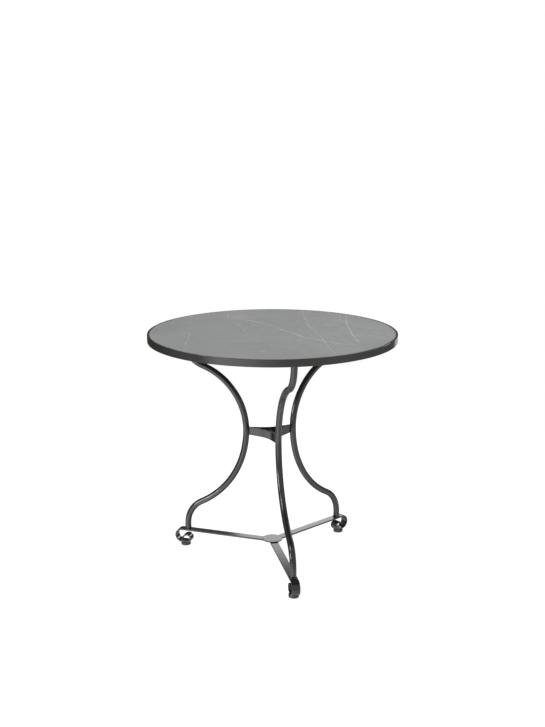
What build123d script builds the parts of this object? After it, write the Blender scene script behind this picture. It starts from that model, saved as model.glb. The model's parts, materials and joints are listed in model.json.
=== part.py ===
"""Round bistro table: a stone top in a flat steel rim on three bowed tube legs.

Millimetres, +Z up. The origin is on the floor, on the vertical axis of the top.
X runs to the right and Y to the back. The three legs stand at 120 degrees, and
each stands on a flat stretcher bar that rolls under into a scroll on a foot.
"""
from build123d import *
import os
from math import acos, cos, degrees, radians, sin

# ---------------------------------------------------------------- dimensions
TOP_DIAMETER = 760.0
TABLE_HEIGHT = 733.0

RIM_HEIGHT = 22.0
RIM_WALL = 6.0
RIM_EDGE = 0.8
SLAB_THICKNESS = 12.5
SLAB_GAP = 0.8
SLAB_CHAMFER = 0.6
LEDGE_WIDTH = 23.5
LEDGE_THICKNESS = 3.0
LEDGE_PAD_RADIUS = 8.0
LEDGE_PAD_THICKNESS = 1.0
LEDGE_PAD_COUNT = 12

ARM_WIDTH = 30.0
ARM_THICKNESS = 6.0
ARM_END_RADIUS = 372.0
ARM_PAD_RADIUS = 10.0
ARM_PAD_AT = 190.0
HUB_RADIUS = 55.0
PLATE_LENGTH = 70.0
PLATE_THICKNESS = 5.0
PLATE_SCREW_SPREAD = 24.0
PLATE_SCREW_RADIUS = 3.0
PLATE_SCREW_HEAD_RADIUS = 5.5
PLATE_SCREW_HEAD_HEIGHT = 3.3

LEG_AZIMUTHS = {"front": -78.0, "right": 42.0, "left": 162.0}
TUBE_RADIUS = 10.0
TUBE_WALL = 2.0
LEG_TOP_RADIUS = 292.0
LEG_FOOT_RADIUS = 290.0
LEG_BEND_RADIUS = 90.0
WAIST_RADIUS = 86.8
WAIST_HEIGHT = 411.0
UPPER_BOW_RADIUS = 209.0
LOWER_BOW_RADIUS = 288.0

BAND_HEIGHT = 26.0
BAND_MID_HEIGHT = 409.9
BAND_THICKNESS = 5.0
BAND_APEX_RADIUS = 22.4
BAND_ARC_RADIUS = 111.1
BAND_HALF_SWEEP = 16.8
BAND_STRAIGHT = 43.5

BAR_WIDTH = 25.0
BAR_THICKNESS = 5.0
BAR_TOP = 56.2
BAR_EDGE = 0.8
SCROLL_START = 309.2
SCROLL_RADIUS = 20.6
CURL_START = 291.0
CURL_RADIUS = 12.0
TIP_RADIUS = 16.5
TIP_SWEEP = 68.0
DISC_RADIUS = 31.5
DISC_THICKNESS = 3.0

PLUG_LENGTH = 18.0
PLUG_CLEARANCE = 0.03
LEG_SCREW_RADIUS = 3.0
LEG_SCREW_HEAD_RADIUS = 6.0
LEG_SCREW_LENGTH = 18.0

FOOT_RADIUS = 299.5
PAD_RADIUS = 15.5
PAD_HEIGHT = 9.7
PAD_FLOOR = 1.5
BUSH_RADIUS = 7.0
BUSH_BOTTOM = 5.0
STUD_RADIUS = 4.0
STUD_TOP = 14.5
STUD_FLANGE_RADIUS = 6.0
RUNNING_GAP = 0.06

# ------------------------------------------------------------ derived levels
rim_outer = TOP_DIAMETER / 2
rim_inner = rim_outer - RIM_WALL
rim_bottom = TABLE_HEIGHT - RIM_HEIGHT
slab_bottom = TABLE_HEIGHT - SLAB_THICKNESS
ledge_top = slab_bottom - LEDGE_PAD_THICKNESS
arm_top = ledge_top - LEDGE_THICKNESS
arm_bottom = arm_top - ARM_THICKNESS
plate_bottom = arm_bottom - PLATE_THICKNESS
bar_bottom = BAR_TOP - BAR_THICKNESS
bar_mid = BAR_TOP - BAR_THICKNESS / 2
strand_mid = bar_mid - 2 * SCROLL_RADIUS
strand_top = strand_mid + BAR_THICKNESS / 2

# A third of the circle, less a hair, that keeps three pieces apart at the axis.
SECTOR = [(0.15, 0), (400, 692), (400, -692)]

os.makedirs("parts", exist_ok=True)


def direction(azimuth):
    """Unit vector that points outwards at an azimuth, in degrees from +X."""
    return Vector(cos(radians(azimuth)), sin(radians(azimuth)), 0)


def upright_plane(azimuth):
    """Vertical plane through the axis: local x points outwards, local y up."""
    out = direction(azimuth)
    return Plane(origin=(0, 0, 0), x_dir=out, z_dir=Vector(out.Y, -out.X, 0))


def level_plane(azimuth, height, radius=0.0):
    """Level plane at a height, with local x outwards and its origin at a radius."""
    out = direction(azimuth)
    return Plane(origin=out * radius + Vector(0, 0, height), x_dir=out, z_dir=(0, 0, 1))


def finish(builder, name):
    """Label a finished piece and write it to its STEP file."""
    builder.part.label = name
    export_step(builder.part, f"parts/{name}.step")


# ----------------------------------------------------------------------- top
with BuildPart() as top_slab:
    with BuildSketch(Plane.XY.offset(slab_bottom)):
        Circle(rim_inner - SLAB_GAP)
    extrude(amount=SLAB_THICKNESS)
    chamfer(top_slab.edges().group_by(Axis.Z)[-1], SLAB_CHAMFER)
finish(top_slab, "top_slab")

with BuildPart() as rim_band:
    with BuildSketch(Plane.XZ) as rim_section:
        with Locations((rim_inner + RIM_WALL / 2, rim_bottom + RIM_HEIGHT / 2)):
            RectangleRounded(RIM_WALL, RIM_HEIGHT, RIM_EDGE)
    revolve(axis=Axis.Z)
finish(rim_band, "rim_band")

with BuildPart() as rim_ledge:
    with BuildSketch(Plane.XY.offset(arm_top)):
        Circle(rim_inner)
        Circle(rim_inner - LEDGE_WIDTH, mode=Mode.SUBTRACT)
    extrude(amount=LEDGE_THICKNESS)
finish(rim_ledge, "rim_ledge")

with BuildPart() as ledge_pads:
    with BuildSketch(Plane.XY.offset(ledge_top)):
        with PolarLocations(rim_inner - LEDGE_WIDTH / 2, LEDGE_PAD_COUNT, start_angle=12):
            Circle(LEDGE_PAD_RADIUS)
    extrude(amount=LEDGE_PAD_THICKNESS)
finish(ledge_pads, "ledge_pads")

with BuildPart() as arm_pads:
    with BuildSketch(Plane.XY.offset(arm_top)):
        with PolarLocations(ARM_PAD_AT, 3, start_angle=LEG_AZIMUTHS["front"]):
            Circle(ARM_PAD_RADIUS)
        Circle(1.5 * ARM_PAD_RADIUS)
    extrude(amount=slab_bottom - arm_top)
finish(arm_pads, "arm_pads")

with BuildPart() as top_hub:
    with BuildSketch(Plane.XY.offset(arm_bottom)):
        Circle(HUB_RADIUS)
    extrude(amount=ARM_THICKNESS)
finish(top_hub, "top_hub")

for side, azimuth in LEG_AZIMUTHS.items():
    with BuildPart() as top_arm:
        with BuildSketch(level_plane(azimuth, arm_bottom)):
            with Locations((ARM_END_RADIUS / 2, 0)):
                Rectangle(ARM_END_RADIUS, ARM_WIDTH)
            Circle(HUB_RADIUS, mode=Mode.SUBTRACT)
            with Locations(
                (LEG_TOP_RADIUS - PLATE_SCREW_SPREAD, 0),
                (LEG_TOP_RADIUS + PLATE_SCREW_SPREAD, 0),
            ):
                Circle(PLATE_SCREW_RADIUS + PLUG_CLEARANCE, mode=Mode.SUBTRACT)
        extrude(amount=ARM_THICKNESS)
    finish(top_arm, f"top_arm_{side}")

# ---------------------------------------------------------------------- legs
# Each leg is one tube in its upright plane. From the top it drops straight,
# bends in, bows through the waist on two arcs, bends out and drops straight.
upper_turn = degrees(
    acos(
        (WAIST_RADIUS + UPPER_BOW_RADIUS - LEG_TOP_RADIUS + LEG_BEND_RADIUS)
        / (UPPER_BOW_RADIUS + LEG_BEND_RADIUS)
    )
)
lower_turn = degrees(
    acos(
        (WAIST_RADIUS + LOWER_BOW_RADIUS - LEG_FOOT_RADIUS + LEG_BEND_RADIUS)
        / (LOWER_BOW_RADIUS + LEG_BEND_RADIUS)
    )
)
upper_bend_height = WAIST_HEIGHT + (UPPER_BOW_RADIUS + LEG_BEND_RADIUS) * sin(radians(upper_turn))


def leg_path(plane):
    """Centre line of a leg, from under its top plate to the stretcher bar."""
    with BuildLine(plane) as path:
        drop = Line((LEG_TOP_RADIUS, plate_bottom), (LEG_TOP_RADIUS, upper_bend_height))
        bend_in = JernArc(drop @ 1, (0, -1), LEG_BEND_RADIUS, -upper_turn)
        tangent_in = (-sin(radians(upper_turn)), -cos(radians(upper_turn)))
        upper_bow = JernArc(bend_in @ 1, tangent_in, UPPER_BOW_RADIUS, upper_turn)
        lower_bow = JernArc(upper_bow @ 1, (0, -1), LOWER_BOW_RADIUS, lower_turn)
        tangent_out = (sin(radians(lower_turn)), -cos(radians(lower_turn)))
        bend_out = JernArc(lower_bow @ 1, tangent_out, LEG_BEND_RADIUS, -lower_turn)
        Line(bend_out @ 1, (LEG_FOOT_RADIUS, BAR_TOP))
    return path.wires()[0]


leg_rods = {}
for side, azimuth in LEG_AZIMUTHS.items():
    path = leg_path(upright_plane(azimuth))
    section_plane = level_plane(azimuth, plate_bottom, LEG_TOP_RADIUS)

    with BuildPart() as leg_rod:
        with BuildSketch(section_plane):
            Circle(TUBE_RADIUS)
        sweep(path=path)
    leg_rods[side] = leg_rod.part

    with BuildPart() as leg:
        with BuildSketch(section_plane):
            Circle(TUBE_RADIUS)
            Circle(TUBE_RADIUS - TUBE_WALL, mode=Mode.SUBTRACT)
        sweep(path=path)
    finish(leg, f"leg_{side}")

    with BuildPart() as leg_plate:
        with BuildSketch(level_plane(azimuth, plate_bottom, LEG_TOP_RADIUS)):
            RectangleRounded(PLATE_LENGTH, ARM_WIDTH, 5)
            with Locations((-PLATE_SCREW_SPREAD, 0), (PLATE_SCREW_SPREAD, 0)):
                Circle(PLATE_SCREW_RADIUS + 0.3, mode=Mode.SUBTRACT)
        extrude(amount=PLATE_THICKNESS)
    finish(leg_plate, f"leg_plate_{side}")

    with BuildPart() as plate_screws:
        with BuildSketch(level_plane(azimuth, plate_bottom, LEG_TOP_RADIUS)):
            with Locations((-PLATE_SCREW_SPREAD, 0), (PLATE_SCREW_SPREAD, 0)):
                Circle(PLATE_SCREW_HEAD_RADIUS)
        extrude(amount=-PLATE_SCREW_HEAD_HEIGHT)
        fillet(plate_screws.edges().group_by(Axis.Z)[0], 1.2)
        with BuildSketch(level_plane(azimuth, plate_bottom, LEG_TOP_RADIUS)):
            with Locations((-PLATE_SCREW_SPREAD, 0), (PLATE_SCREW_SPREAD, 0)):
                Circle(PLATE_SCREW_RADIUS)
        extrude(amount=PLATE_THICKNESS + ARM_THICKNESS)
        socket_plane = level_plane(azimuth, plate_bottom - PLATE_SCREW_HEAD_HEIGHT, LEG_TOP_RADIUS)
        with BuildSketch(socket_plane):
            with Locations((-PLATE_SCREW_SPREAD, 0), (PLATE_SCREW_SPREAD, 0)):
                RegularPolygon(2.0, 6, major_radius=False)
        extrude(amount=2.2, mode=Mode.SUBTRACT)
    finish(plate_screws, f"leg_plate_screws_{side}")

# --------------------------------------------------------------- waist bands
# Three flat bars on edge join the legs at the waist. Each one bulges towards
# the axis, and is mitred against its neighbours on the inner side of the tubes.
BAND_SIDES = {"left_front": 222.0, "right_front": -18.0, "rear": 102.0}
for side, azimuth in BAND_SIDES.items():
    out = direction(azimuth)
    across = direction(azimuth + 90)
    arc_centre = BAND_APEX_RADIUS + BAND_ARC_RADIUS
    arc_end_x = arc_centre - BAND_ARC_RADIUS * cos(radians(BAND_HALF_SWEEP))
    arc_end_y = BAND_ARC_RADIUS * sin(radians(BAND_HALF_SWEEP))
    end_x = arc_end_x + BAND_STRAIGHT * sin(radians(BAND_HALF_SWEEP))
    end_y = arc_end_y + BAND_STRAIGHT * cos(radians(BAND_HALF_SWEEP))

    with BuildLine(level_plane(azimuth, BAND_MID_HEIGHT)) as band_path:
        Line((end_x, -end_y), (arc_end_x, -arc_end_y))
        ThreePointArc(
            (arc_end_x, -arc_end_y),
            (BAND_APEX_RADIUS, 0),
            (arc_end_x, arc_end_y),
        )
        Line((arc_end_x, arc_end_y), (end_x, end_y))

    band_start = out * end_x - across * end_y + Vector(0, 0, BAND_MID_HEIGHT)
    heading = across * cos(radians(BAND_HALF_SWEEP)) - out * sin(radians(BAND_HALF_SWEEP))
    with BuildPart() as waist_band:
        with BuildSketch(Plane(origin=band_start, x_dir=(0, 0, 1), z_dir=heading)):
            RectangleRounded(BAND_HEIGHT, BAND_THICKNESS, BAR_EDGE)
        sweep(path=band_path.wires()[0])
        with BuildSketch(level_plane(azimuth, BAND_MID_HEIGHT - BAND_HEIGHT)):
            with BuildLine():
                Polyline(*SECTOR, close=True)
            make_face()
        extrude(amount=2 * BAND_HEIGHT, mode=Mode.INTERSECT)
        for rod in leg_rods.values():
            add(rod, mode=Mode.SUBTRACT)
    finish(waist_band, f"waist_band_{side}")

# ----------------------------------------------------------------- stretcher
# Each bar runs from the axis out past its leg, rolls under in a half turn, runs
# back flat over the foot, and ends in a smaller curl with a slacker tip.
for side, azimuth in LEG_AZIMUTHS.items():
    with BuildLine(upright_plane(azimuth)) as bar_path:
        run = Line((0, bar_mid), (SCROLL_START, bar_mid))
        roll = JernArc(run @ 1, (1, 0), SCROLL_RADIUS, -180)
        strand = Line(roll @ 1, (CURL_START, strand_mid))
        curl = JernArc(strand @ 1, (-1, 0), CURL_RADIUS, -180)
        JernArc(curl @ 1, (1, 0), TIP_RADIUS, -TIP_SWEEP)

    out = direction(azimuth)
    with BuildPart() as stretcher_bar:
        with BuildSketch(Plane(origin=(0, 0, bar_mid), x_dir=(0, 0, 1), z_dir=out)):
            RectangleRounded(BAR_THICKNESS, BAR_WIDTH, BAR_EDGE)
        sweep(path=bar_path.wires()[0])
        # The inner end is a 120 degree point, so that three bars meet in a star.
        with BuildSketch(level_plane(azimuth, -1)):
            with BuildLine():
                Polyline(*SECTOR, close=True)
            make_face()
        extrude(amount=100, mode=Mode.INTERSECT)
        # Screw hole under the leg, countersunk from below.
        with BuildSketch(upright_plane(azimuth)):
            with BuildLine():
                Polyline(
                    (LEG_FOOT_RADIUS, bar_bottom - 0.5),
                    (LEG_FOOT_RADIUS + LEG_SCREW_HEAD_RADIUS + 0.2, bar_bottom - 0.5),
                    (LEG_FOOT_RADIUS + LEG_SCREW_HEAD_RADIUS + 0.2, bar_bottom),
                    (LEG_FOOT_RADIUS + LEG_SCREW_RADIUS + 0.2, bar_bottom + 3.0),
                    (LEG_FOOT_RADIUS + LEG_SCREW_RADIUS + 0.2, BAR_TOP + 0.5),
                    (LEG_FOOT_RADIUS, BAR_TOP + 0.5),
                    close=True,
                )
            make_face()
        screw_axis = Axis(out * LEG_FOOT_RADIUS, (0, 0, 1))
        revolve(axis=screw_axis, mode=Mode.SUBTRACT)
        # Hole for the threaded bush over the foot.
        with BuildSketch(level_plane(azimuth, strand_mid - 4, FOOT_RADIUS)):
            Circle(BUSH_RADIUS)
        extrude(amount=8, mode=Mode.SUBTRACT)
    finish(stretcher_bar, f"stretcher_bar_{side}")

    with BuildPart() as leg_plug:
        with BuildSketch(level_plane(azimuth, BAR_TOP, LEG_FOOT_RADIUS)):
            Circle(TUBE_RADIUS - TUBE_WALL - PLUG_CLEARANCE)
            Circle(LEG_SCREW_RADIUS + PLUG_CLEARANCE, mode=Mode.SUBTRACT)
        extrude(amount=PLUG_LENGTH)
    finish(leg_plug, f"leg_plug_{side}")

    with BuildPart() as leg_screw:
        with BuildSketch(upright_plane(azimuth)):
            with BuildLine():
                Polyline(
                    (LEG_FOOT_RADIUS, bar_bottom),
                    (LEG_FOOT_RADIUS + LEG_SCREW_HEAD_RADIUS, bar_bottom),
                    (LEG_FOOT_RADIUS + LEG_SCREW_RADIUS, bar_bottom + 3.0),
                    (LEG_FOOT_RADIUS + LEG_SCREW_RADIUS, bar_bottom + LEG_SCREW_LENGTH),
                    (LEG_FOOT_RADIUS, bar_bottom + LEG_SCREW_LENGTH),
                    close=True,
                )
            make_face()
        revolve(axis=screw_axis)
        with BuildSketch(level_plane(azimuth, bar_bottom, LEG_FOOT_RADIUS)):
            RegularPolygon(2.0, 6, major_radius=False)
        extrude(amount=2.4, mode=Mode.SUBTRACT)
    finish(leg_screw, f"leg_screw_{side}")

with BuildPart() as stretcher_disc:
    with BuildSketch(Plane.XY.offset(BAR_TOP)):
        Circle(DISC_RADIUS)
    extrude(amount=DISC_THICKNESS)
    fillet(stretcher_disc.edges().group_by(Axis.Z)[-1], 0.8)
finish(stretcher_disc, "stretcher_disc")

# ---------------------------------------------------------------------- feet
# Each foot is a pad on a threaded stud that screws down out of a welded bush.
# The pad is a cup: its rim closes on the scroll, and the bush fills its recess.
for side, azimuth in LEG_AZIMUTHS.items():
    foot_plane = level_plane(azimuth, 0, FOOT_RADIUS)
    foot_axis = Axis(direction(azimuth) * FOOT_RADIUS, (0, 0, 1))

    with BuildPart() as foot_bush:
        with BuildSketch(level_plane(azimuth, BUSH_BOTTOM, FOOT_RADIUS)):
            Circle(BUSH_RADIUS)
            Circle(STUD_RADIUS + RUNNING_GAP, mode=Mode.SUBTRACT)
        extrude(amount=strand_top - BUSH_BOTTOM)
    finish(foot_bush, f"foot_bush_{side}")

    with BuildPart() as foot_pad:
        with BuildSketch(foot_plane):
            Circle(PAD_RADIUS)
        extrude(amount=PAD_HEIGHT)
        fillet(foot_pad.edges().group_by(Axis.Z)[0], 0.8)
        fillet(foot_pad.edges().group_by(Axis.Z)[-1], 0.8)
        with BuildSketch(level_plane(azimuth, PAD_FLOOR, FOOT_RADIUS)):
            Circle(STUD_FLANGE_RADIUS + 0.1)
        extrude(amount=1.6, mode=Mode.SUBTRACT)
        with BuildSketch(level_plane(azimuth, PAD_FLOOR, FOOT_RADIUS)):
            Circle(STUD_RADIUS + RUNNING_GAP)
        extrude(amount=PAD_HEIGHT, mode=Mode.SUBTRACT)
        with BuildSketch(level_plane(azimuth, BUSH_BOTTOM - 0.3, FOOT_RADIUS)):
            Circle(BUSH_RADIUS + 0.5)
        extrude(amount=PAD_HEIGHT, mode=Mode.SUBTRACT)
    finish(foot_pad, f"foot_pad_{side}")

    with BuildPart() as foot_stud:
        with BuildSketch(level_plane(azimuth, PAD_FLOOR + 0.2, FOOT_RADIUS)):
            Circle(STUD_FLANGE_RADIUS)
        extrude(amount=1.2)
        with BuildSketch(level_plane(azimuth, PAD_FLOOR + 0.2, FOOT_RADIUS)):
            Circle(STUD_RADIUS)
        extrude(amount=STUD_TOP - PAD_FLOOR - 0.2)
        chamfer(foot_stud.edges().group_by(Axis.Z)[-1], 0.6)
        with BuildSketch(level_plane(azimuth, STUD_TOP, FOOT_RADIUS)):
            RegularPolygon(2.0, 6, major_radius=False)
        extrude(amount=-4.0, mode=Mode.SUBTRACT)
    finish(foot_stud, f"foot_stud_{side}")
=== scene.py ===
"""Looks of the round bistro table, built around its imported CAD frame.

Metres, Z up, in the CAD frame: the origin is on the floor under the middle of the
top. The CAD nodes keep their shapes and get procedural materials here. Weld beads
are added where the frame's pieces meet.
"""
import json
import math
import random

import bmesh
import bpy
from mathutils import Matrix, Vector
from mathutils.bvhtree import BVHTree


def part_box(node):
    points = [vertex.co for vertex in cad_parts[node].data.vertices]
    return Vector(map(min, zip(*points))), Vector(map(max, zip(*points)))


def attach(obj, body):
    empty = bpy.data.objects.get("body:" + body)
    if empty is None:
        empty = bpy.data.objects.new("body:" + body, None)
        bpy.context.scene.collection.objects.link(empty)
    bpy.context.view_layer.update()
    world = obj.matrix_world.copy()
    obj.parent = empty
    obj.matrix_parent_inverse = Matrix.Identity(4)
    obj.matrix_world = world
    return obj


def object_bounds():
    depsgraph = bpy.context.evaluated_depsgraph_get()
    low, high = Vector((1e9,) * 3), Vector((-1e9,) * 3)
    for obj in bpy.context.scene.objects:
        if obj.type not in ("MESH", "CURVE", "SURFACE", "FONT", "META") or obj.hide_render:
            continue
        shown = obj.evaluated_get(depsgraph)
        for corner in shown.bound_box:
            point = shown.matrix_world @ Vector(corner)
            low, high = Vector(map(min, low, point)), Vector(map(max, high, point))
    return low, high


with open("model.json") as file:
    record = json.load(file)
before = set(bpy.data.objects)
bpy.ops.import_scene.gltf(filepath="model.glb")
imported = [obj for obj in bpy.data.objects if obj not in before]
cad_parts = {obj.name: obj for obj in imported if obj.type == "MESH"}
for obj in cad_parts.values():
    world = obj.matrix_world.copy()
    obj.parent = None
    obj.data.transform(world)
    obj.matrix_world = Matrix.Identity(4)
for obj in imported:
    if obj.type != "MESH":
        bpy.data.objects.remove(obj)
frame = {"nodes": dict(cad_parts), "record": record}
cad_low, cad_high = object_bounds()
nodes = frame["nodes"]
table_middle = (0, 0, cad_high.z / 2)

# -------------------------------------------------------------------- camera
CAMERA_PLACE = (0.0, -3.056, 1.357)
CAMERA_PITCH = 0.2328
CAMERA_LENS = 50.69
CAMERA_SENSOR = 36.0

scene = bpy.context.scene
camera = bpy.data.objects.new("camera", bpy.data.cameras.new("camera"))
camera.data.sensor_width = CAMERA_SENSOR
camera.data.lens = CAMERA_LENS
camera.location = CAMERA_PLACE
camera.rotation_euler = (math.pi / 2 - CAMERA_PITCH, 0, 0)
scene.collection.objects.link(camera)
scene.camera = camera
scene.view_settings.view_transform = "Standard"


# ----------------------------------------------------------- node tree helper
class Tree:
    """A thin wrapper that adds shader nodes and links them in one call."""

    def __init__(self, holder):
        holder.use_nodes = True
        self.tree = holder.node_tree
        self.tree.nodes.clear()

    def node(self, kind, inputs=(), **settings):
        """Adds a node. inputs maps a socket to a value, or to an output to link."""
        made = self.tree.nodes.new(kind)
        for name, value in settings.items():
            setattr(made, name, value)
        for socket, value in dict(inputs).items():
            if isinstance(value, bpy.types.NodeSocket):
                self.tree.links.new(value, made.inputs[socket])
            else:
                made.inputs[socket].default_value = value
        return made

    def math(self, operation, *values):
        made = self.node("ShaderNodeMath", enumerate(values), operation=operation)
        return made.outputs[0]

    def vector(self, operation, *values):
        made = self.node("ShaderNodeVectorMath", enumerate(values), operation=operation)
        return made.outputs[0]

    def noise(self, place, scale, detail=2.0, roughness=0.5, output=0):
        """Noise at a scale per metre: output 0 is its value and 1 its colour."""
        pairs = {"Vector": place, "Scale": scale, "Detail": detail, "Roughness": roughness}
        return self.node("ShaderNodeTexNoise", pairs).outputs[output]

    def wobble(self, place, scale, size):
        """A noisy offset of a size, for bending a pattern."""
        noise = self.noise(place, scale, 3.0, output=1)
        centred = self.vector("SUBTRACT", noise, (0.5, 0.5, 0.5))
        pairs = {0: centred, "Scale": size}
        return self.node("ShaderNodeVectorMath", pairs, operation="SCALE").outputs[0]

    def spread(self, value, low, high, to_low=0.0, to_high=1.0, smooth=False):
        """Maps low..high to to_low..to_high, and holds the value past either end."""
        pairs = {0: value, 1: low, 2: high, 3: to_low, 4: to_high}
        kind = "SMOOTHSTEP" if smooth else "LINEAR"
        made = self.node("ShaderNodeMapRange", pairs, interpolation_type=kind, clamp=True)
        return made.outputs[0]

    def mix(self, share, first, second):
        """The first colour with a share of the second."""
        pairs = {0: share, 6: first, 7: second}
        return self.node("ShaderNodeMix", pairs, data_type="RGBA").outputs[2]

    def bump(self, height, strength, distance, under=None):
        pairs = {"Height": height, "Strength": strength, "Distance": distance}
        if under is not None:
            pairs["Normal"] = under
        return self.node("ShaderNodeBump", pairs).outputs[0]

    def output(self, shader, kind="ShaderNodeOutputMaterial"):
        self.node(kind, {0: shader})


def grey(level, tint=(1.0, 1.0, 1.0)):
    return (level * tint[0], level * tint[1], level * tint[2], 1.0)


def principled_material(name, build):
    """A material whose Principled inputs come from build(tree, place)."""
    material = bpy.data.materials.new(name)
    tree = Tree(material)
    place = tree.node("ShaderNodeTexCoord").outputs["Object"]
    shader = tree.node("ShaderNodeBsdfPrincipled", build(tree, place))
    tree.output(shader.outputs[0])
    return material


# --------------------------------------------------------------------- stone
# Veins on the top, as (start, end, bow, sway, width, strength), in metres. A bow
# bends a vein one way at its middle, a sway one way and then the other.
VEINS = [
    ((-0.148, 0.335), (-0.076, -0.095), 0.000, -0.011, 0.0022, 0.60),
    ((0.092, 0.365), (0.124, 0.010), 0.000, 0.002, 0.0024, 0.80),
    ((0.119, 0.060), (0.176, -0.330), 0.004, 0.001, 0.0024, 0.75),
    ((0.240, 0.290), (0.254, -0.195), -0.010, 0.000, 0.0024, 0.85),
    ((0.222, 0.290), (0.213, 0.135), 0.000, 0.000, 0.0022, 0.45),
    ((-0.135, 0.236), (0.040, 0.020), 0.010, 0.000, 0.0034, 0.75),
    ((0.005, 0.062), (0.112, -0.115), 0.000, 0.000, 0.0032, 1.00),
    ((0.082, -0.086), (0.250, -0.200), -0.006, 0.006, 0.0032, 0.65),
    ((-0.250, -0.015), (-0.252, -0.200), 0.004, 0.000, 0.0022, 0.70),
    ((-0.040, -0.255), (-0.018, -0.285), 0.000, 0.000, 0.0040, 0.95),
    ((-0.330, 0.120), (-0.255, -0.060), 0.010, 0.004, 0.0016, 0.25),
    ((0.180, 0.150), (0.225, 0.040), 0.004, 0.000, 0.0030, 0.35),
    ((0.130, 0.180), (0.205, 0.120), 0.000, 0.004, 0.0030, 0.25),
    ((-0.128, 0.224), (-0.042, 0.143), 0.004, 0.000, 0.0036, 0.90),
    ((0.246, 0.100), (0.322, 0.034), 0.000, 0.004, 0.0040, 0.40),
    ((0.312, 0.036), (0.362, 0.068), 0.000, 0.000, 0.0034, 0.35),
    ((0.235, -0.055), (0.345, -0.105), 0.006, 0.000, 0.0300, 0.13),
]
VEIN_CORE = 0.2  # share of a vein's width that has its full strength
VEIN_FULL = 0.40  # share of its length, from the middle, before it tapers
HAIR_WIDTH = 0.010
HAIR_STRENGTH = 0.16
CLOUD_SHARE = 0.55  # small clouds against broad ones

STONE_TINT = (0.985, 1.025, 0.995)
STONE_DARK = 0.118
STONE_LIGHT = 0.154
STONE_SMOKE = 0.140
STONE_GRAIN = 0.118
STONE_VEIN = 0.27


def vein(tree, bent, start, end, bow, sway, width, strength):
    """One vein's strength over the stone."""
    run = Vector(end) - Vector(start)
    local = tree.node(
        "ShaderNodeMapping",
        {
            "Vector": bent,
            "Location": (*start, 0.0),
            "Rotation": (0.0, 0.0, math.atan2(run.y, run.x)),
            "Scale": (run.length, 1.0, 1.0),
        },
        vector_type="TEXTURE",
    ).outputs[0]
    axes = tree.node("ShaderNodeSeparateXYZ", {0: local})
    along, aside = axes.outputs[0], axes.outputs[1]
    if bow:
        hump = tree.math("MULTIPLY", along, tree.math("SUBTRACT", 1.0, along))
        aside = tree.math("SUBTRACT", aside, tree.math("MULTIPLY", hump, 4 * bow))
    if sway:
        wave = tree.math("SINE", tree.math("MULTIPLY", along, 2 * math.pi))
        aside = tree.math("SUBTRACT", aside, tree.math("MULTIPLY", wave, sway))
    from_middle = tree.math("ABSOLUTE", tree.math("SUBTRACT", along, 0.5))
    taper = tree.spread(from_middle, 0.5, VEIN_FULL)
    off = tree.math("ADD", tree.math("ABSOLUTE", aside), width)
    thinned = tree.math("MULTIPLY_ADD", taper, -width, off)
    return tree.spread(thinned, width, VEIN_CORE * width, 0.0, strength, smooth=True)


def stone(tree, place):
    """Honed grey stone: soft clouds, a fine grain, broken pale veins, faint hairs."""
    push = tree.wobble(place, 7.0, 0.022)
    shiver = tree.wobble(place, 55.0, 0.004)
    bent = tree.vector("ADD", tree.vector("ADD", place, push), shiver)

    veins = vein(tree, bent, *VEINS[0])
    for shape in VEINS[1:]:
        veins = tree.math("MAXIMUM", veins, vein(tree, bent, *shape))
    breaks = tree.spread(tree.noise(place, 28.0, 4.0, 0.6), 0.36, 0.60, 0.25, 1.0)
    veins = tree.math("MULTIPLY", veins, breaks)
    web = tree.node(
        "ShaderNodeTexVoronoi", {"Vector": bent, "Scale": 8.0}, feature="DISTANCE_TO_EDGE"
    ).outputs["Distance"]
    hairs = tree.math(
        "MULTIPLY",
        tree.spread(web, HAIR_WIDTH, 0.0, 0.0, HAIR_STRENGTH, smooth=True),
        tree.spread(tree.noise(place, 6.0, 3.0), 0.52, 0.66),
    )
    veins = tree.math("MAXIMUM", veins, hairs)

    small = tree.spread(tree.noise(bent, 9.0, 7.0, 0.62), 0.32, 0.68)
    broad = tree.spread(tree.noise(bent, 3.4, 3.0), 0.36, 0.64)
    clouds = tree.math(
        "ADD",
        tree.math("MULTIPLY", small, CLOUD_SHARE),
        tree.math("MULTIPLY", broad, 1 - CLOUD_SHARE),
    )
    smoke = tree.spread(tree.noise(bent, 42.0, 6.0, 0.6), 0.32, 0.68)
    grain = tree.spread(tree.noise(place, 900.0), 0.3, 0.7)

    colour = tree.mix(clouds, grey(STONE_DARK, STONE_TINT), grey(STONE_LIGHT, STONE_TINT))
    for share, level in (
        (tree.math("MULTIPLY", smoke, 0.35), STONE_SMOKE),
        (tree.math("MULTIPLY", grain, 0.10), STONE_GRAIN),
        (veins, STONE_VEIN),
    ):
        colour = tree.mix(share, colour, grey(level, STONE_TINT))
    relief = tree.math("ADD", grain, tree.math("MULTIPLY", smoke, 0.6))
    return {
        "Base Color": colour,
        "Roughness": tree.spread(smoke, 0.0, 1.0, 0.50, 0.60),
        "Specular IOR Level": 0.2,
        "Normal": tree.bump(relief, 0.10, 0.0002),
    }


# ------------------------------------------------------------ other materials
PAINT_TINT = (1.06, 1.0, 0.90)
PAINT_DARK = 0.0050
PAINT_LIGHT = 0.0068
PAINT_GRIT = 0.016


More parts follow.
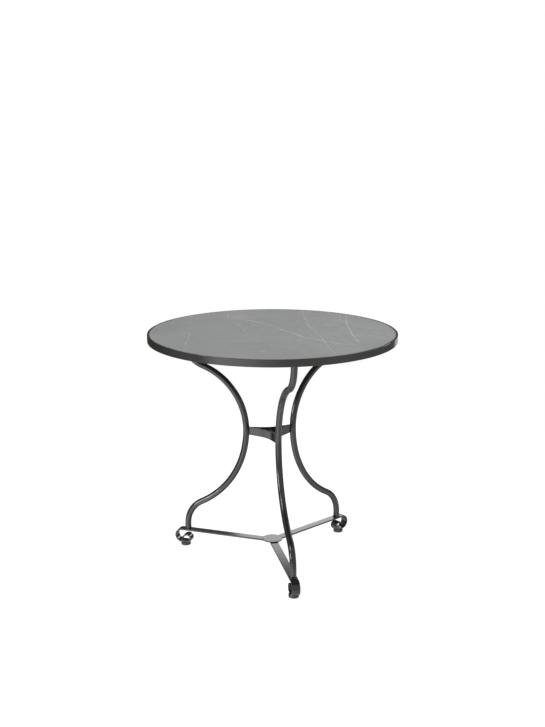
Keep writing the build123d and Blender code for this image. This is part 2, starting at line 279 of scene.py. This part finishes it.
def paint(tree, place):
    """Near-black lacquer: a satin base under a clear coat with faint orange peel."""
    patches = tree.spread(tree.noise(place, 18.0, 4.0, 0.6), 0.3, 0.7)
    peel = tree.noise(place, 420.0)
    grit = tree.noise(place, 2400.0, 1.0)
    colour = tree.mix(patches, grey(PAINT_DARK, PAINT_TINT), grey(PAINT_LIGHT, PAINT_TINT))
    specks = tree.spread(grit, 0.55, 0.75, 0.0, 0.25)
    colour = tree.mix(specks, colour, grey(PAINT_GRIT, PAINT_TINT))
    skin = tree.bump(peel, 0.03, 0.0006)
    return {
        "Base Color": colour,
        "Roughness": tree.spread(patches, 0.0, 1.0, 0.36, 0.44),
        "Specular IOR Level": 0.03,
        "Coat Weight": 0.9,
        "Coat Roughness": 0.07,
        "Normal": tree.bump(grit, 0.06, 0.0002, skin),
        "Coat Normal": skin,
    }


def plastic(tree, place):
    """Black moulded foot plastic, dulled and scuffed near the floor."""
    grains = tree.noise(place, 700.0, 3.0)
    height = tree.node("ShaderNodeSeparateXYZ", {0: place}).outputs[2]
    dust = tree.math(
        "MULTIPLY",
        tree.spread(height, 0.006, 0.0, smooth=True),
        tree.spread(tree.noise(place, 140.0, 4.0), 0.35, 0.65),
    )
    return {
        "Base Color": tree.mix(dust, grey(0.009), grey(0.028)),
        "Roughness": tree.spread(dust, 0.0, 1.0, 0.48, 0.70),
        "Normal": tree.bump(grains, 0.15, 0.0002),
    }


def rubber(tree, place):
    """Matt black rubber of the pads under the stone."""
    speck = tree.spread(tree.noise(place, 500.0, 4.0), 0.35, 0.65)
    return {
        "Base Color": tree.mix(speck, grey(0.018), grey(0.030)),
        "Roughness": tree.spread(speck, 0.0, 1.0, 0.75, 0.88),
        "Normal": tree.bump(speck, 0.2, 0.0002),
    }


def zinc(tree, place):
    """Black zinc on the screws and studs, with a faint brushed turn."""
    stretched = tree.vector("MULTIPLY", place, (300.0, 300.0, 3000.0))
    turns = tree.noise(stretched, 1.0, 3.0)
    stain = tree.spread(tree.noise(place, 220.0, 4.0), 0.35, 0.65)
    return {
        "Base Color": tree.mix(stain, grey(0.10), grey(0.19, (1.0, 0.98, 0.93))),
        "Metallic": 0.9,
        "Roughness": tree.spread(turns, 0.3, 0.7, 0.28, 0.46),
        "Normal": tree.bump(turns, 0.08, 0.0001),
    }


BUILDERS = {
    "stone_top": stone,
    "frame_metal": paint,
    "slab_pad_rubber": rubber,
    "foot_pad_plastic": plastic,
    "fixing_steel": zinc,
}
materials = {slot: principled_material(slot, build) for slot, build in BUILDERS.items()}
for subpart in frame["record"]["subparts"]:
    for holder in nodes[subpart["node"]].material_slots:
        holder.material = materials[subpart["material_slot"]]

# ---------------------------------------------------------------- weld beads
# Thin rippled ropes of painted metal where the frame's pieces meet. A bead follows
# a run: its points, and whether they close in a ring.
LEGS = ("front", "right", "left")
BANDS = ("left_front", "right_front", "rear")

BEAD_SIDES = 8
BEAD_STEP = 0.4  # share of the bead's radius
RIPPLE = (1.0, 0.95, 0.86, 0.76)
JITTER = 0.05
TIP_SIZE = 0.4  # size of an open bead's first ring, as a share of its full size
TIP_GROWTH = 0.3  # what each ring after it adds
CIRCLE_STEPS = 48
SHORT_ARC_STEPS = 12

CONTACT = 0.0003  # corners this close to a surface touch it
COLLAR_OUT = 0.0005  # from the tube's surface out to its collar's path
COLLAR_LIFT = 0.0003  # from the bar or plate to that path
STAR_START = 0.010  # from the axis, along a stretcher bar
STAR_SHORT = 0.001  # from the beads' ends to the disc's edge
STAR_SINK = 0.0002
LEDGE_REACH = 0.0215  # from the ledge's outside in to the arm beads' near ends
ARM_SHORT = 0.004  # from the ledge's outside in to their far ends
LEDGE_SINK = 0.0002
STITCHES = 18
STITCH_SWEEP = math.radians(5.0)


def resampled(points, step, closed):
    """Points at even steps along a polyline."""
    corners = points + points[:1] if closed else points
    spans = [(b - a).length for a, b in zip(corners, corners[1:])]
    count = max(3, round(sum(spans) / step))
    placed = []
    for index in range(count if closed else count + 1):
        left = sum(spans) * index / count
        for start, end, span in zip(corners, corners[1:], spans):
            if left <= span or end is corners[-1]:
                placed.append(start.lerp(end, min(1.0, left / span) if span else 0.0))
                break
            left -= span
    return placed


def add_bead(form, points, closed, radius, dice):
    """Adds one rippled bead along points to a bmesh."""
    path = resampled(points, BEAD_STEP * radius, closed)
    last = len(path) - 1
    turns = [2 * math.pi * k / BEAD_SIDES for k in range(BEAD_SIDES)]
    side = None
    rings = []
    for index, place in enumerate(path):
        before = path[index - 1] if index or closed else place
        after = path[(index + 1) % len(path)] if index < last or closed else place
        heading = (after - before).normalized()
        side = heading.orthogonal() if side is None else side - heading * side.dot(heading)
        side = side.normalized()
        over = heading.cross(side)
        size = radius * RIPPLE[index % len(RIPPLE)] * (1 + dice.uniform(-JITTER, JITTER))
        if not closed:
            size *= min(1.0, TIP_SIZE + TIP_GROWTH * min(index, last - index))
        offsets = [size * (math.cos(a) * side + math.sin(a) * over) for a in turns]
        rings.append([form.verts.new(place + offset) for offset in offsets])
    pairs = list(zip(rings, rings[1:])) + ([(rings[-1], rings[0])] if closed else [])
    for near, far in pairs:
        for k in range(BEAD_SIDES):
            following = (k + 1) % BEAD_SIDES
            form.faces.new((near[k], near[following], far[following], far[k]))
    if not closed:
        form.faces.new(rings[0][::-1])
        form.faces.new(rings[-1])


def weld(name, runs, radius, seed):
    """One piece of the frame's beads, from its runs."""
    form = bmesh.new()
    dice = random.Random(seed)
    for points, closed in runs:
        add_bead(form, points, closed, radius, dice)
    bmesh.ops.recalc_face_normals(form, faces=form.faces)
    mesh = bpy.data.meshes.new(name)
    form.to_mesh(mesh)
    form.free()
    mesh.shade_smooth()
    mesh.materials.append(materials["frame_metal"])
    piece = bpy.data.objects.new(name, mesh)
    scene.collection.objects.link(piece)
    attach(piece, "table")


def level_point(centre, radius, height, angle):
    x = centre.x + radius * math.cos(angle)
    y = centre.y + radius * math.sin(angle)
    return Vector((x, y, height))


def circle(centre, radius, height):
    """A closed run round a level circle."""
    angles = [2 * math.pi * k / CIRCLE_STEPS for k in range(CIRCLE_STEPS)]
    return [level_point(centre, radius, height, a) for a in angles], True


def short_arc(radius, height, start, sweep):
    """An open run along a level arc round the table's axis."""
    angles = [start + sweep * k / SHORT_ARC_STEPS for k in range(SHORT_ARC_STEPS + 1)]
    return [level_point(Vector(), radius, height, a) for a in angles], False


def corners_of(node):
    return [corner.co for corner in nodes[node].data.vertices]


def mean(points):
    return sum(points, Vector()) / len(points)


def surface_of(node):
    faces = [face.vertices for face in nodes[node].data.polygons]
    return BVHTree.FromPolygons(corners_of(node), faces)


def in_order(points, surface):
    """Points on a surface, in order round their middle."""
    middle = mean(points)
    outward = surface.find_nearest(middle)[1]
    level = outward.cross((0, 0, 1)).normalized()
    upright = level.cross(outward)

    def angle(point):
        return math.atan2((point - middle).dot(upright), (point - middle).dot(level))

    return sorted(points, key=angle)


bar_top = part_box("stretcher_bar_front")[1].z
plate_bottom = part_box("leg_plate_front")[0].z
disc_low, disc_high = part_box("stretcher_disc")
disc_radius = (disc_high.x - disc_low.x) / 2
ledge_low, ledge_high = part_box("rim_ledge")
ledge_bottom, ledge_outer = ledge_low.z, ledge_high.x
arm_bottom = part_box("top_arm_front")[0].z
hub_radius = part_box("top_hub")[1].x

feet, outs = {}, {}
collar_runs, top_runs, waist_runs, star_runs, bush_runs, arm_runs = [], [], [], [], [], []
for leg in LEGS:
    ends = [p for p in corners_of(f"leg_{leg}") if p.z < bar_top + CONTACT]
    feet[leg] = mean(ends)
    outs[leg] = Vector((feet[leg].x, feet[leg].y, 0)).normalized()
tube_radius = max((p.xy - feet[leg].xy).length for p in ends)
collar_radius = tube_radius + COLLAR_OUT


def sides(leg, piece):
    """The two sideways offsets of a bar's edges, and half the bar's width."""
    across = Vector((-outs[leg].y, outs[leg].x, 0))
    half_width = max(p.dot(across) for p in corners_of(piece))
    return [hand * half_width * across for hand in (1, -1)], half_width


def outward_run(leg, aside, start, end, height):
    """An open run outwards along a leg's direction, to one side of it."""
    lift = Vector((0, 0, height))
    return [outs[leg] * reach + aside + lift for reach in (start, end)], False


for leg in LEGS:
    high = [p for p in corners_of(f"leg_{leg}") if p.z > plate_bottom - CONTACT]
    collar_runs.append(circle(feet[leg], collar_radius, bar_top + COLLAR_LIFT))
    top_runs.append(circle(mean(high), collar_radius, plate_bottom - COLLAR_LIFT))

    tube = surface_of(f"leg_{leg}")
    for band in BANDS:
        corners = corners_of(f"waist_band_{band}")
        touching = [p for p in corners if tube.find_nearest(p, CONTACT)[0]]
        if touching:
            waist_runs.append((in_order(touching, tube), True))

    edges, half_width = sides(leg, f"stretcher_bar_{leg}")
    end = math.sqrt(disc_radius**2 - half_width**2) - STAR_SHORT
    for edge in edges:
        star_runs.append(outward_run(leg, edge, STAR_START, end, bar_top - STAR_SINK))

    edges, half_width = sides(leg, f"top_arm_{leg}")
    start, end = ledge_outer - LEDGE_REACH, ledge_outer - ARM_SHORT
    for edge in edges:
        arm_runs.append(outward_run(leg, edge, start, end, ledge_bottom))
    swing = math.asin(half_width / hub_radius)
    heading = math.atan2(outs[leg].y, outs[leg].x)
    arm_runs.append(short_arc(hub_radius, arm_bottom, heading - swing, 2 * swing))

    bush_low, bush_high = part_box(f"foot_bush_{leg}")
    bush_radius = (bush_high.x - bush_low.x) / 2
    bush_runs.append(circle((bush_low + bush_high) / 2, bush_radius, bush_high.z))

stitch_angles = [2 * math.pi * k / STITCHES for k in range(STITCHES)]
ledge_runs = [
    short_arc(ledge_outer - LEDGE_SINK, ledge_bottom, angle, STITCH_SWEEP)
    for angle in stitch_angles
]
weld("weld_feet", collar_runs, 0.0016, 11)
weld("weld_leg_tops", top_runs, 0.0016, 12)
weld("weld_waist", waist_runs, 0.0012, 13)
weld("weld_star", star_runs, 0.0013, 14)
weld("weld_bushes", bush_runs, 0.0009, 15)
weld("weld_arms", arm_runs, 0.0016, 16)
weld("weld_ledge", ledge_runs, 0.0018, 17)

# --------------------------------------------------------------------- stage
FLOOR_RADIUS = 1.9
FLOOR_FADE = 0.6  # share of the radius where the floor starts to fade
FLOOR_DROP = 0.0005
FLOOR_LEVEL = 0.25
FLOOR_GLOW = 0.79


def floor_material():
    """Pale and matt with a faint glow, fading out at its edge, clear from below."""
    material = bpy.data.materials.new("floor_pale")
    tree = Tree(material)
    place = tree.node("ShaderNodeTexCoord").outputs["Object"]
    far = tree.node("ShaderNodeVectorMath", {0: place}, operation="LENGTH").outputs["Value"]
    fade = tree.spread(far, FLOOR_FADE * FLOOR_RADIUS, FLOOR_RADIUS, smooth=True)
    below = tree.node("ShaderNodeNewGeometry").outputs["Backfacing"]
    clear = tree.node("ShaderNodeBsdfTransparent").outputs[0]
    matt = tree.node("ShaderNodeBsdfDiffuse", {"Color": grey(FLOOR_LEVEL)}).outputs[0]
    glow = tree.node("ShaderNodeEmission", {"Color": grey(FLOOR_GLOW)}).outputs[0]
    pale = tree.node("ShaderNodeAddShader", {0: matt, 1: glow}).outputs[0]
    hidden = tree.math("MAXIMUM", fade, below)
    tree.output(tree.node("ShaderNodeMixShader", {0: hidden, 1: pale, 2: clear}).outputs[0])
    return material


floor_edge = [
    (FLOOR_RADIUS * math.cos(math.radians(a)), FLOOR_RADIUS * math.sin(math.radians(a)), 0)
    for a in range(0, 360, 3)
]
mesh = bpy.data.meshes.new("floor")
mesh.from_pydata(floor_edge, [], [tuple(range(len(floor_edge)))])
floor = bpy.data.objects.new("floor", mesh)
floor.location.z = cad_low.z - FLOOR_DROP
floor.data.materials.append(floor_material())
floor.visible_glossy = False
scene.collection.objects.link(floor)


def softbox(name, place, size, power):
    """A square studio lamp at a place, aimed at the table."""
    lamp = bpy.data.lights.new(name, "AREA")
    lamp.shape = "RECTANGLE"
    lamp.size = lamp.size_y = size
    lamp.energy = power
    holder = bpy.data.objects.new(name, lamp)
    holder.location = place
    aim = Vector(table_middle) - Vector(place)
    holder.rotation_euler = aim.to_track_quat("-Z", "Y").to_euler()
    scene.collection.objects.link(holder)
    return holder


softbox("key_left", (-2.1, -1.7, 2.3), 0.8, 26.0)
ceiling = softbox("ceiling", (0, 0, 3.5), 8.0, 376.0)
ceiling.visible_glossy = False
ceiling.visible_camera = False

# --------------------------------------------------------------------- world
# Patches of light round the table, as (level, left edge, right edge, lower edge,
# upper edge). An edge is the pair of angles, in degrees, between which the light
# comes up or goes down. Turns run to the right from the front, past 180 behind.
PATCHES = [
    (2.0, (-68, -48), (-45, 20), (-91, -90), (-6, 7)),
    (2.8, (130, 134), (181.6, 182.6), (18.0, 19.5), (23.2, 25.0)),
    (5.0, (124, 130), (146, 154), (11.0, 14.0), (21.0, 24.0)),
    (0.15, (130, 150), (210, 230), (14, 20), (28, 35)),
    (0.7, (174.2, 175.3), (184.7, 185.8), (6, 8), (14, 16)),
    (0.7, (146, 148), (178, 180), (-15, -14), (-9, -8)),
    (0.5, (-130, -90), (90, 130), (-91, -90), (-19, -13)),
    (0.4, (85, 125), (235, 275), (-91, -90), (-18, -14)),
    (0.8, (-125, -105), (-80, -66), (-20.5, -19), (-17, -15)),
    (0.5, (-125, -100), (-80, -60), (-91, -90), (-18, -14)),
    (1.5, (-80, -67), (-58, -50), (-20, -18.5), (-16.5, -15)),
    (36.0, (-70, -67), (-63, -60), (1, 6), (14, 20)),
]
FRONT_LEVEL = 0.90
SIDE_LEVEL = 0.15
BACK_LEVEL = 0.03
HIGH_LEVEL = 0.035
HIGH_EDGE = (68, 44)


def studio_light(sky):
    """Soft light by direction: low and in front, dim overhead, plus the patches."""
    way = sky.node("ShaderNodeTexCoord").outputs["Generated"]
    right, back, up = sky.node("ShaderNodeSeparateXYZ", {0: way}).outputs
    rise = sky.math("ARCSINE", up)
    turn = sky.math("ARCTAN2", right, sky.math("MULTIPLY", back, -1.0))

    def edge(angle, start, end):
        return sky.spread(angle, math.radians(start), math.radians(end), smooth=True)

    low = sky.math(
        "ADD",
        sky.spread(back, -0.6, 0.8, FRONT_LEVEL, BACK_LEVEL, smooth=True),
        sky.spread(right, 0.25, 0.90, 0.0, SIDE_LEVEL, smooth=True),
    )
    total = sky.math("MULTIPLY_ADD", low, edge(rise, *HIGH_EDGE), HIGH_LEVEL)
    for level, left_edge, right_edge, lower_edge, upper_edge in PATCHES:
        middle = math.radians(left_edge[0] + right_edge[1]) / 2
        wrapped = sky.math("WRAP", turn, middle + math.pi, middle - math.pi)
        across = sky.math("MULTIPLY", edge(wrapped, *left_edge), edge(wrapped, *right_edge[::-1]))
        along = sky.math("MULTIPLY", edge(rise, *lower_edge), edge(rise, *upper_edge[::-1]))
        total = sky.math("MULTIPLY_ADD", sky.math("MULTIPLY", across, along), level, total)
    return total


# The camera sees plain white, and everything else gets the studio's light.
world = bpy.data.worlds.new("studio")
scene.world = world
sky = Tree(world)
straight = sky.node("ShaderNodeLightPath").outputs["Is Camera Ray"]
backdrop = sky.node("ShaderNodeBackground", {0: grey(1.0), 1: 1.0}).outputs[0]
ambient = sky.node("ShaderNodeBackground", {0: grey(1.0), 1: studio_light(sky)}).outputs[0]
sky.output(
    sky.node("ShaderNodeMixShader", {0: straight, 1: ambient, 2: backdrop}).outputs[0],
    "ShaderNodeOutputWorld",
)
